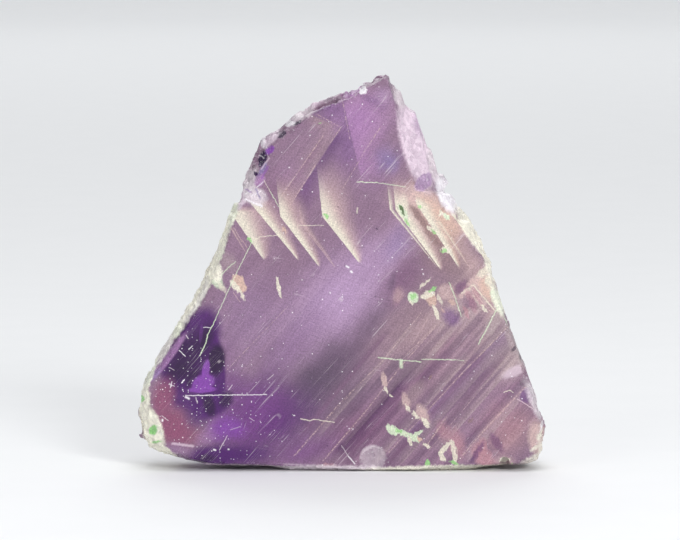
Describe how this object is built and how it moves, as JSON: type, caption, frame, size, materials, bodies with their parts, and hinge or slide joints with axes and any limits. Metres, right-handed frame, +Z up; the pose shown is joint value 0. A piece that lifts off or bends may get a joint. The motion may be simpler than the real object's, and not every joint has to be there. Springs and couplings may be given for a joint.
{
  "type": "fluorite slab",
  "caption": "Triangular polished slab of zoned purple fluorite with broken cleavage edges, standing upright on the flat of its lower edge.",
  "frame": {"origin": "under the middle of the slab, on the surface that it stands on", "axes": "+X along the slab's width, to the right of its polished face; +Y from the polished face to the sawn back; +Z up"},
  "size_m": [0.0822, 0.016, 0.0796],
  "materials": {
    "fluorite": "satin polish over cloudy purple zones, glossy where it has cleaved"
  },
  "bodies": {
    "root": {"fluorite_slab": "fluorite"}
  },
  "joints": []
}
